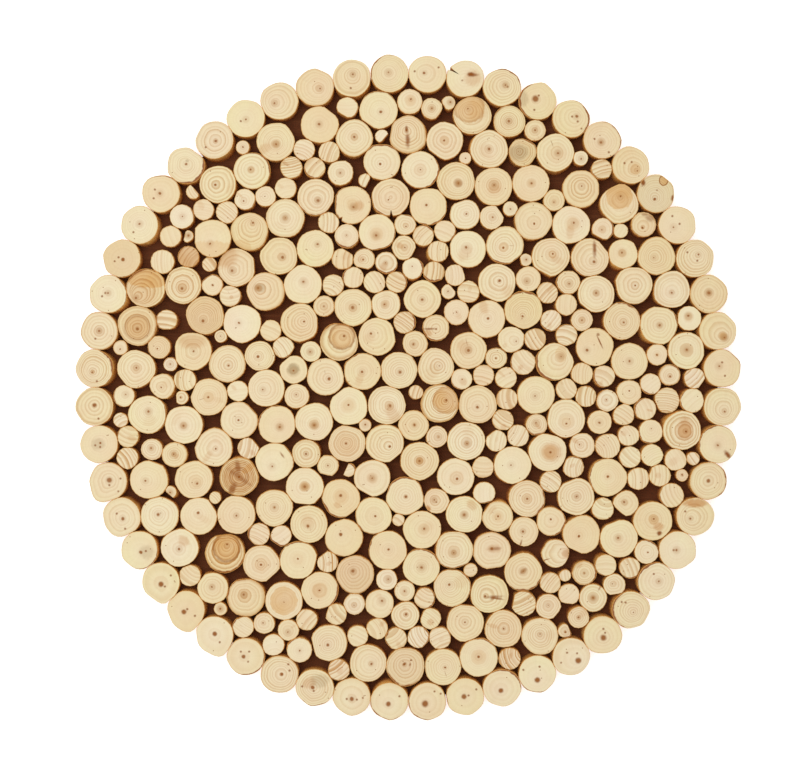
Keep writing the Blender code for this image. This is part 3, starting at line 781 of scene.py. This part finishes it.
def end_grain(tree, stripes):
    """Freshly sawn pine end grain, unfinished: pale sapwood with thin tan growth rings, so matt and pale.

    A ring's place is the distance from the pith, or for stripes from a far tree centre, divided by the ring
    width. Its fraction gives pale early wood that deepens to the tan late wood and ends sharply.
    """
    lay = add(tree, "Attribute", out="Vector", attribute_name="lay")
    seed_part = add(tree, "SeparateXYZ", [lay], out=2)
    flat = add(tree, "VectorMath", {0: lay, 1: (1.0, 1.0, 0.0)}, operation="MULTIPLY")
    rings = add(tree, "Attribute", out="Vector", attribute_name="rings")
    ring, ring_width, ring_contrast = (add(tree, "SeparateXYZ", [rings], out=part) for part in range(3))
    if stripes:
        centre = add(tree, "Attribute", out="Vector", attribute_name="far")
        ring = add(tree, "VectorMath", {0: flat, 1: centre}, out="Value", operation="DISTANCE")
    from_pith = add(tree, "VectorMath", {0: flat}, out="Value", operation="LENGTH")

    # Rings waver by about a quarter of a millimetre, and good and bad years space them unevenly.
    waver = add(tree, "TexNoise", {"Vector": lay, "Scale": 0.15, "Detail": 2.0})
    ring = add(tree, "Math", [waver, 1.3, ring], operation="MULTIPLY_ADD")
    years = add(tree, "Math", [ring, ring_width], operation="DIVIDE")
    along_years = add(tree, "CombineXYZ", [years, seed_part, 0.0])
    uneven = add(tree, "TexNoise", {"Vector": along_years, "Scale": 0.55, "Detail": 1.0})
    years = add(tree, "Math", [uneven, 2.4 if stripes else 1.6, years], operation="MULTIPLY_ADD")
    season = add(tree, "Math", [years], operation="FRACT")
    year = add(tree, "Math", [years], operation="FLOOR")
    year = add(tree, "Math", [year, seed_part], operation="ADD")
    weather = add(tree, "TexWhiteNoise", {"W": year}, noise_dimensions="1D")
    deepens = add(tree, "MapRange", [season, 0.2, 0.9], interpolation_type="SMOOTHSTEP")
    ends = add(tree, "MapRange", [season, 0.93, 1.0, 1.0, 0.0])
    late = add(tree, "Math", [deepens, ends], operation="MULTIPLY")
    share = add(tree, "MapRange", [weather, 0.0, 1.0, 0.3, 1.0])
    late = add(tree, "Math", [late, share], operation="MULTIPLY")
    late = add(tree, "Math", [late, ring_contrast], operation="MULTIPLY")
    late = add(tree, "Math", [late, 1.1 if stripes else 0.75], operation="MULTIPLY")

    # Sapwood varies from slice to slice and softly across each: pinkish cream by the pith, yellowish by the
    # outline, and more or less tan.
    tones = add(tree, "Attribute", out="Vector", attribute_name="tones")
    tint, warmth, pith_size = (add(tree, "SeparateXYZ", [tones], out=part) for part in range(3))
    cloud = add(tree, "TexNoise", {"Vector": lay, "Scale": 0.05, "Detail": 3.0})
    warmth = add(tree, "Math", [cloud, 1.8, warmth], operation="MULTIPLY_ADD")
    warmth = add(tree, "Math", [from_pith, 0.05, warmth], operation="MULTIPLY_ADD")
    warmth = add(tree, "MapRange", [warmth, 0.1, 2.7])
    tan = add(tree, "Math", [cloud, -3.4, tint], operation="MULTIPLY_ADD")
    tan = add(tree, "MapRange", [tan, -2.9, -0.3, 0.0, 0.42])
    creams = {0: warmth, 6: linear("#efdfc6"), 7: linear("#e9dcab")}
    wood = add(tree, "Mix", creams, out=2, data_type="RGBA")
    wood = add(tree, "Mix", {0: tan, 6: wood, 7: linear("#dfb77d")}, out=2, data_type="RGBA")

    # Heartwood, stains, patches and grey lie under the rings, in the slices whose looks give them a cover.
    wobble = add(tree, "TexNoise", {"Vector": lay, "Scale": 0.3, "Detail": 3.0}, out="Color")
    wobble = add(tree, "VectorMath", {0: wobble, 1: (0.5, 0.5, 0.5)}, operation="SUBTRACT")
    heart = add(tree, "Attribute", out="Vector", attribute_name="heart")
    heart_size, heart_share, halo_share = (add(tree, "SeparateXYZ", [heart], out=part) for part in range(3))
    if not stripes:
        inner = add(tree, "Math", [ring, heart_size], operation="DIVIDE")
        inner = add(tree, "MapRange", [inner, 0.65, 1.15, 1.0, 0.0], interpolation_type="SMOOTHSTEP")
        inner = add(tree, "Math", [inner, heart_share], operation="MULTIPLY")
        wood = add(tree, "Mix", {0: inner, 6: wood, 7: linear("#d3a76d")}, out=2, data_type="RGBA")
    uneven_cover = add(tree, "MapRange", [cloud, 0.35, 0.65, 0.75, 1.15])
    stain = mark_cover(tree, "stain", wobble, 0.45)
    stain = add(tree, "Math", [stain, uneven_cover], operation="MULTIPLY")
    wood = add(tree, "Mix", {0: stain, 6: wood, 7: linear("#c68d51")}, out=2, data_type="RGBA")
    patch = mark_cover(tree, "patch", wobble, 0.9, bend=0.3)
    patch = add(tree, "Math", [patch, uneven_cover], operation="MULTIPLY")
    wood = add(tree, "Mix", {0: patch, 6: wood, 7: linear("#d8aa6a")}, out=2, data_type="RGBA")
    grey = mark_cover(tree, "grey", wobble, 0.5)
    wood = add(tree, "Mix", {0: grey, 6: wood, 7: linear("#a58d64")}, out=2, data_type="RGBA")
    ringed = {0: late, 6: wood, 7: linear("#d2a976")}
    wood = add(tree, "Mix", ringed, out=2, data_type="RGBA", blend_type="MULTIPLY")

    # Collars, knots, spots and streaks lie over the rings.
    collar = mark_cover(tree, "collar", wobble, 0.88, bend=0.15)
    hole = mark_cover(tree, "collar", wobble, 0.7, bend=0.15, reach=0.88)
    collar = add(tree, "Math", [collar, hole], operation="SUBTRACT")
    wood = add(tree, "Mix", {0: collar, 6: wood, 7: linear("#91561f")}, out=2, data_type="RGBA")
    dark_marks = (("knot", 0.3, "#8a4b16"), ("spot", 0.3, "#8a4b16"), ("streak", 0.15, "#8b4a12"))
    for kind, solid, colour in dark_marks:
        dark = mark_cover(tree, kind, wobble, solid)
        wood = add(tree, "Mix", {0: dark, 6: wood, 7: linear(colour)}, out=2, data_type="RGBA")

    # Rays run out from the pith, and open pores and saw fuzz speckle the face.
    own_seed = add(tree, "CombineXYZ", [seed_part, seed_part, seed_part])
    outward = add(tree, "VectorMath", {0: flat}, operation="NORMALIZE")
    outward = add(tree, "VectorMath", {0: outward, 1: (9.0, 9.0, 0.0), 2: own_seed}, operation="MULTIPLY_ADD")
    rays = add(tree, "TexNoise", {"Vector": outward, "Scale": 1.0, "Detail": 3.0})
    speckle = add(tree, "TexNoise", {"Vector": lay, "Scale": 1.6, "Detail": 4.0, "Roughness": 0.7})
    ray_light = add(tree, "MapRange", [rays, 0.3, 0.7, 0.978, 1.02])
    speckle_light = add(tree, "MapRange", [speckle, 0.3, 0.7, 0.975, 1.022])
    light = add(tree, "Math", [ray_light, speckle_light], operation="MULTIPLY")
    wood = add(tree, "Mix", {0: 1.0, 6: wood, 7: light}, out=2, data_type="RGBA", blend_type="MULTIPLY")

    # Resin channels are sparse dots of half a millimetre, in cells seven millimetres wide.
    shifted = add(tree, "VectorMath", {0: flat, 1: own_seed}, operation="ADD")
    cells = add(tree, "TexVoronoi", {"Vector": shifted, "Scale": 0.14}, voronoi_dimensions="2D")
    cell = add(tree, "TexVoronoi", {"Vector": shifted, "Scale": 0.14}, out="Color", voronoi_dimensions="2D")
    chosen = add(tree, "SeparateXYZ", [cell], out=0)
    chosen = add(tree, "Math", [chosen, 0.82 if stripes else 0.93], operation="GREATER_THAN")
    dot = add(tree, "MapRange", [cells, 0.055, 0.085, 0.75, 0.0], interpolation_type="SMOOTHSTEP")
    dot = add(tree, "Math", [dot, chosen], operation="MULTIPLY")
    wood = add(tree, "Mix", {0: dot, 6: wood, 7: linear("#8f5726")}, out=2, data_type="RGBA")

    if not stripes:
        # The pith is a soft brown core of about a millimetre, often with a tan or greyish halo, and the
        # stronger the halo the fainter the core.
        halo_fade = add(tree, "MapRange", [from_pith, 1.0, 5.5, 1.0, 0.0], interpolation_type="SMOOTHSTEP")
        halo_fade = add(tree, "Math", [halo_fade, halo_share], operation="MULTIPLY")
        wood = add(tree, "Mix", {0: halo_fade, 6: wood, 7: linear("#b98d5c")}, out=2, data_type="RGBA")
        core = add(tree, "VectorMath", {0: wobble, 1: (1.2, 1.2, 0.0), 2: flat}, operation="MULTIPLY_ADD")
        core = add(tree, "VectorMath", {0: core}, out="Value", operation="LENGTH")
        core = add(tree, "Math", [core, pith_size], operation="DIVIDE")
        core = add(tree, "MapRange", [core, 0.55, 1.45, 1.0, 0.0], interpolation_type="SMOOTHSTEP")
        softer = add(tree, "MapRange", [halo_share, 0.0, 1.0, 0.95, 0.65])
        core = add(tree, "Math", [core, softer], operation="MULTIPLY")
        wood = add(tree, "Mix", {0: core, 6: wood, 7: linear("#925318")}, out=2, data_type="RGBA")

    # The peeled skin leaves a thin amber line at the outline, broken where the knife went deeper.
    edge = add(tree, "Attribute", out="Vector", attribute_name="edge")
    inward, _, edge_share = (add(tree, "SeparateXYZ", [edge], out=part) for part in range(3))
    skin = add(tree, "MapRange", [inward, 0.3, 0.95, 1.0, 0.0], interpolation_type="SMOOTHSTEP")
    broken = add(tree, "MapRange", [rays, 0.4, 0.62, 0.15, 1.0])
    skin = add(tree, "Math", [skin, broken], operation="MULTIPLY")
    skin = add(tree, "Math", [skin, edge_share], operation="MULTIPLY")
    wood = add(tree, "Mix", {0: skin, 6: wood, 7: linear("#b07437")}, out=2, data_type="RGBA")

    # Some kept a crescent of red-brown inner bark on one side, as wide as the bark value and ragged inside.
    bark = add(tree, "Attribute", out="Vector", attribute_name="bark")
    bark = add(tree, "SeparateXYZ", [bark], out=0)
    ragged = add(tree, "Math", [waver, 2.4, -0.3], operation="MULTIPLY_ADD")
    bark = add(tree, "Math", [bark, ragged], operation="MULTIPLY")
    bark = add(tree, "Math", [bark, inward], operation="SUBTRACT")
    bark = add(tree, "MapRange", [bark, -0.2, 0.45, 0.0, 0.9], interpolation_type="SMOOTHSTEP")
    wood = add(tree, "Mix", {0: bark, 6: wood, 7: linear("#8c4a1a")}, out=2, data_type="RGBA")

    relief = add(tree, "Math", [speckle, 0.5, late], operation="MULTIPLY_ADD")
    bump = add(tree, "Bump", {"Strength": 0.15, "Distance": 0.0001, "Height": relief})
    return {"Base Color": wood, "Roughness": 0.8, "Specular IOR Level": 0.1, "Normal": bump}


SIDE_FIBRES_PER_METRE = (900.0, 900.0, 60.0)


def peeled_surface(tree):
    """The side of a peeled pole, golden by the sawn face and brown below: partly stain that ran down into the
    gaps, and partly painted shade that deepens with depth, as the shade down in the gaps does.

    The fibres run down the side, so the grain is noise stretched along Z, with streaks about a millimetre
    wide. The panel's outer side was trimmed after gluing and shows nearly bare wood. An open split is painted
    dark brown, as painted shade inside the split.
    """
    place = add(tree, "TexCoord", out="Object")
    down = add(tree, "Mapping", {"Vector": place, "Scale": SIDE_FIBRES_PER_METRE})
    fibres = add(tree, "TexNoise", {"Vector": down, "Scale": 1.0, "Detail": 4.0})
    patches = add(tree, "TexNoise", {"Vector": place, "Scale": 70.0, "Detail": 2.0})
    edge = add(tree, "Attribute", out="Vector", attribute_name="edge")
    _, depth, edge_share = (add(tree, "SeparateXYZ", [edge], out=part) for part in range(3))
    # Painted shade in part: the side goes from amber to brown with depth below the sawn face, standing for
    # stain that ran down and for the shade deep in the gaps.
    depth = add(tree, "Math", [patches, -14.0, depth], operation="MULTIPLY_ADD")
    depth = add(tree, "Math", [edge_share, 14.0, depth], operation="MULTIPLY_ADD")
    stained = add(tree, "MapRange", [depth, 5.0, 19.0], interpolation_type="SMOOTHSTEP")
    amber = add(tree, "ValToRGB", [fibres], stops=[(0.3, linear("#d99a47")), (0.7, linear("#eebd6c"))])
    brown = add(tree, "ValToRGB", [fibres], stops=[(0.3, linear("#a65f2d")), (0.7, linear("#c27d43"))])
    colour = add(tree, "Mix", {0: stained, 6: amber, 7: brown}, out=2, data_type="RGBA")
    bare = add(tree, "ValToRGB", [fibres], stops=[(0.3, linear("#c9a069")), (0.7, linear("#e3c795"))])
    bark = add(tree, "Attribute", out="Vector", attribute_name="bark")
    _, trimmed, split = (add(tree, "SeparateXYZ", [bark], out=part) for part in range(3))
    trimmed = add(tree, "Math", [trimmed, 0.8], operation="MULTIPLY")
    colour = add(tree, "Mix", {0: trimmed, 6: colour, 7: bare}, out=2, data_type="RGBA")
    # Painted shade: the wall of an open split is painted dark brown, where the split lies in shade.
    colour = add(tree, "Mix", {0: split, 6: colour, 7: linear("#3c2012")}, out=2, data_type="RGBA")
    bump = add(tree, "Bump", {"Strength": 0.4, "Distance": 0.0003, "Height": fibres})
    return {"Base Color": colour, "Roughness": 0.6, "Specular IOR Level": 0.35, "Normal": bump}


sawn_pole = finish("sawn pine pole end grain", lambda tree: end_grain(tree, stripes=False))
sawn_dowel = finish("sawn pine dowel end grain", lambda tree: end_grain(tree, stripes=True))
peeled_side = finish("stained side of peeled pine", peeled_surface)


# The rim is a ring of the thickest poles, set first, each sawn flat on two sides to fit its neighbours.

for name in (name for name in slice_nodes if name.startswith("rim")):
    slice_piece(name.replace("slices", "arc"), np.flatnonzero(slice_node == name))


# The field fills the ring with poles, sticks, dowels and twigs as they fitted. Its nodes are dressed in pairs
# of neighbours: the free node farthest from the middle takes the free node nearest to it.

field_nodes = [name for name in slice_nodes if name.startswith("field")]
node_place = np.array([middle[slice_node == name].mean(axis=0) for name in field_nodes])
free = list(range(len(field_nodes)))
pairs = []
while len(free) > 1:
    first = max(free, key=lambda one: np.hypot(*node_place[one]))
    free.remove(first)
    second = min(free, key=lambda one: np.hypot(*(node_place[one] - node_place[first])))
    free.remove(second)
    pairs.append([first, second])
if free:
    nearest = min(pairs, key=lambda pair: np.hypot(*(node_place[pair].mean(axis=0) - node_place[free[0]])))
    nearest.append(free[0])
for number, pair in enumerate(pairs, start=1):
    names = [field_nodes[one] for one in pair]
    slice_piece(f"field_patch_{number:02d}", np.flatnonzero(np.isin(slice_node, names)))


# The floor is a plain white sheet under the panel, bright enough to stay white round it.

FLOOR_HALF = 25.0
FLOOR_UNDER = 0.0005


def white_sheet(tree):
    """Matt white paper that is lit from below a little, so the panel's contact shade doesn't grey it."""
    return {
        "Base Color": linear("#fafafa"),
        "Roughness": 0.95,
        "Emission Color": linear("#ffffff"),
        "Emission Strength": 0.5,
    }


corners = [(FLOOR_HALF * x, FLOOR_HALF * y, -FLOOR_UNDER) for x, y in ((-1, -1), (1, -1), (1, 1), (-1, 1))]
floor = mesh_piece("floor", corners, [(0, 1, 2, 3)], finish("white sheet", white_sheet))


# Soft white studio light from all round, with one wide lamp above the panel and a little to its upper left.

SKY_STRENGTH = 0.62
LAMP_WIDTH = 1.6
LAMP_WATTS = 22.3
LAMP_PLACE = (-0.45, 0.3, 2.1)
LAMP_TILT = (math.radians(-8.1), math.radians(-12.1), 0.0)

world = bpy.data.worlds.new("studio")
world.use_nodes = True
world.node_tree.nodes["Background"].inputs["Color"].default_value = linear("#ffffff")
world.node_tree.nodes["Background"].inputs["Strength"].default_value = SKY_STRENGTH
bpy.context.scene.world = world

lamp_light = bpy.data.lights.new("wide_lamp", "AREA")
lamp_light.shape = "DISK"
lamp_light.size = LAMP_WIDTH
lamp_light.energy = LAMP_WATTS
lamp = bpy.data.objects.new("wide_lamp", lamp_light)
lamp.location = LAMP_PLACE
lamp.rotation_euler = LAMP_TILT
bpy.context.scene.collection.objects.link(lamp)


# The camera looks straight down from 1.8 metres above the sawn faces, and a pixel there is 0.899 millimetres.
# It stands a little to the left, as in the photo.

CAMERA_ABOVE = 1.8
CAMERA_SIDE = -0.0076
FRAME_WIDTH = 800 * 0.899 * MM
SENSOR = 36.0
view = bpy.data.cameras.new("view")
view.sensor_fit = "HORIZONTAL"
view.sensor_width = SENSOR
view.lens = SENSOR * CAMERA_ABOVE / FRAME_WIDTH
camera = bpy.data.objects.new("view", view)
camera.location = (CAMERA_SIDE, 0.0, cad_box[1][2] + CAMERA_ABOVE)
bpy.context.scene.collection.objects.link(camera)
bpy.context.scene.camera = camera
bpy.context.scene.view_settings.view_transform = "Standard"
